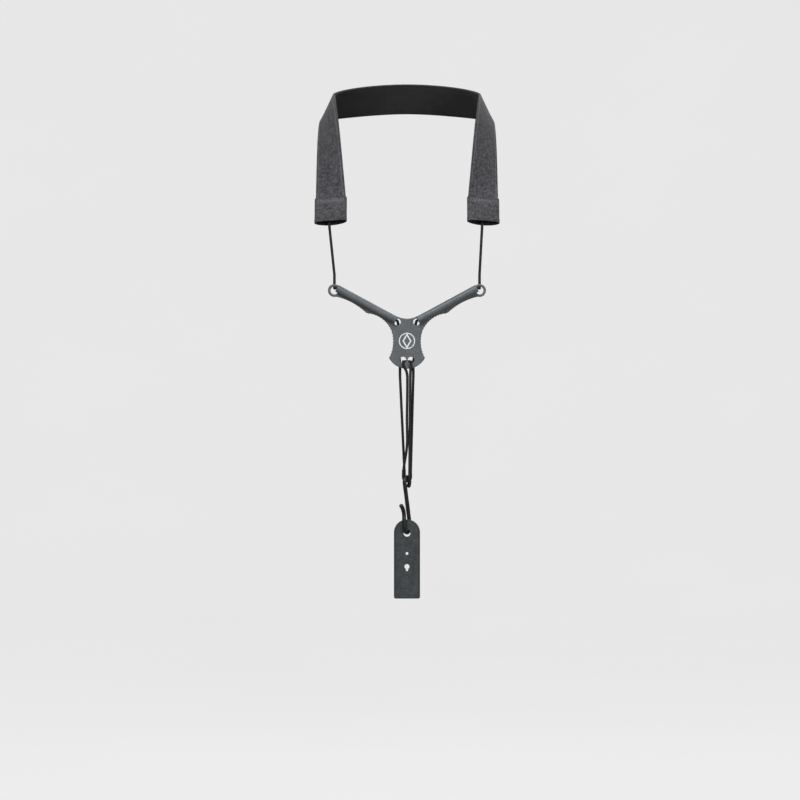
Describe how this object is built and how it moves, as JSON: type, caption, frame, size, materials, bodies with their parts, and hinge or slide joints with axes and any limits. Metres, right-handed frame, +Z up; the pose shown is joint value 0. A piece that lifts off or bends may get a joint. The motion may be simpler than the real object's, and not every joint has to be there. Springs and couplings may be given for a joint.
{
  "type": "saxophone neck strap",
  "caption": "Woodwind neck strap: padded neck band, moulded Y-shaped yoke that slides on a cord, coated hook and a leather tab.",
  "frame": {"origin": "seat of the hook: the middle of the inside of its lowest bend, where the hung ring or tab rests", "axes": "+Z up along the hanging cords, front of the strap faces -Y, wearer stands on the +Y side, +X to the viewer's right"},
  "size_m": [0.1786, 0.156, 0.5043],
  "materials": {
    "webbing": "woven matte",
    "lining": "brushed knit",
    "thread": "twisted thread",
    "cord": "braided, slight sheen",
    "yoke": "fine grained matte",
    "emblem": "printed matte",
    "hook_coating": "satin dip coat",
    "hook_wire": "drawn wire",
    "leather": "fine grain, smooth"
  },
  "bodies": {
    "neck_band": {"band_webbing": "webbing", "band_lining": "lining", "end_sleeve_left": "webbing", "end_sleeve_right": "webbing", "sleeve_stitches_left": "thread", "sleeve_stitches_right": "thread", "cord_knot_left": "cord", "cord_knot_right": "cord"},
    "side_cords": {"side_cord_left": "cord", "side_cord_right": "cord"},
    "cord_guides": {"ring_cord_left": "cord", "ring_cord_right": "cord"},
    "yoke": {"yoke": "yoke", "yoke_emblem": "emblem", "yoke_cord_left": "cord", "yoke_cord_right": "cord", "bridge_cord": "cord"},
    "drop_cords": {"drop_cord_rear_left": "cord", "drop_cord_front_left": "cord", "drop_cord_front_right": "cord", "drop_cord_rear_right": "cord"},
    "hook_carrier": {"eye_loop_front": "cord", "eye_loop_rear": "cord"},
    "hook": {"hook_coating": "hook_coating", "hook_wire": "hook_wire"},
    "tab": {"leather_tab": "leather"}
  },
  "joints": [
    {"name": "strap_swing", "type": "hinge", "parent": "neck_band", "child": "side_cords", "pos_m": [0, 0.00265, 0.29273], "axis": [1, 0, 0], "range_deg": [-45, 15]},
    {"name": "yoke_slide", "type": "slide", "parent": "side_cords", "child": "cord_guides", "axis": [0, 0, 1], "range_m": [-0.12, 0.02], "deforming": ["side_cord_left", "side_cord_right"]},
    {"name": "yoke_tilt", "type": "hinge", "parent": "cord_guides", "child": "yoke", "pos_m": [0, 0.0028, 0.2376], "axis": [1, 0, 0], "range_deg": [-16, 16]},
    {"name": "drop_swing", "type": "hinge", "parent": "yoke", "child": "drop_cords", "pos_m": [0, 0, 0.152], "axis": [1, 0, 0], "range_deg": [-25, 25]},
    {"name": "hook_travel", "type": "slide", "parent": "drop_cords", "child": "hook_carrier", "axis": [0, 0, 1], "range_m": [-0.01, 0.06], "deforming": ["drop_cord_rear_left", "drop_cord_front_left", "drop_cord_front_right", "drop_cord_rear_right"]},
    {"name": "hook_swing", "type": "hinge", "parent": "hook_carrier", "child": "hook", "pos_m": [0, 0, 0.0464], "axis": [0.8988, -0.4384, 0], "range_deg": [-35, 35]},
    {"name": "tab_swing", "type": "hinge", "parent": "hook", "child": "tab", "pos_m": [0, 0, -0.00195], "axis": [0, 1, 0], "range_deg": [-25, 25]}
  ],
  "couplings": [
    {"joint": "hook_travel", "follows": "yoke_slide", "ratio": -0.5}
  ]
}
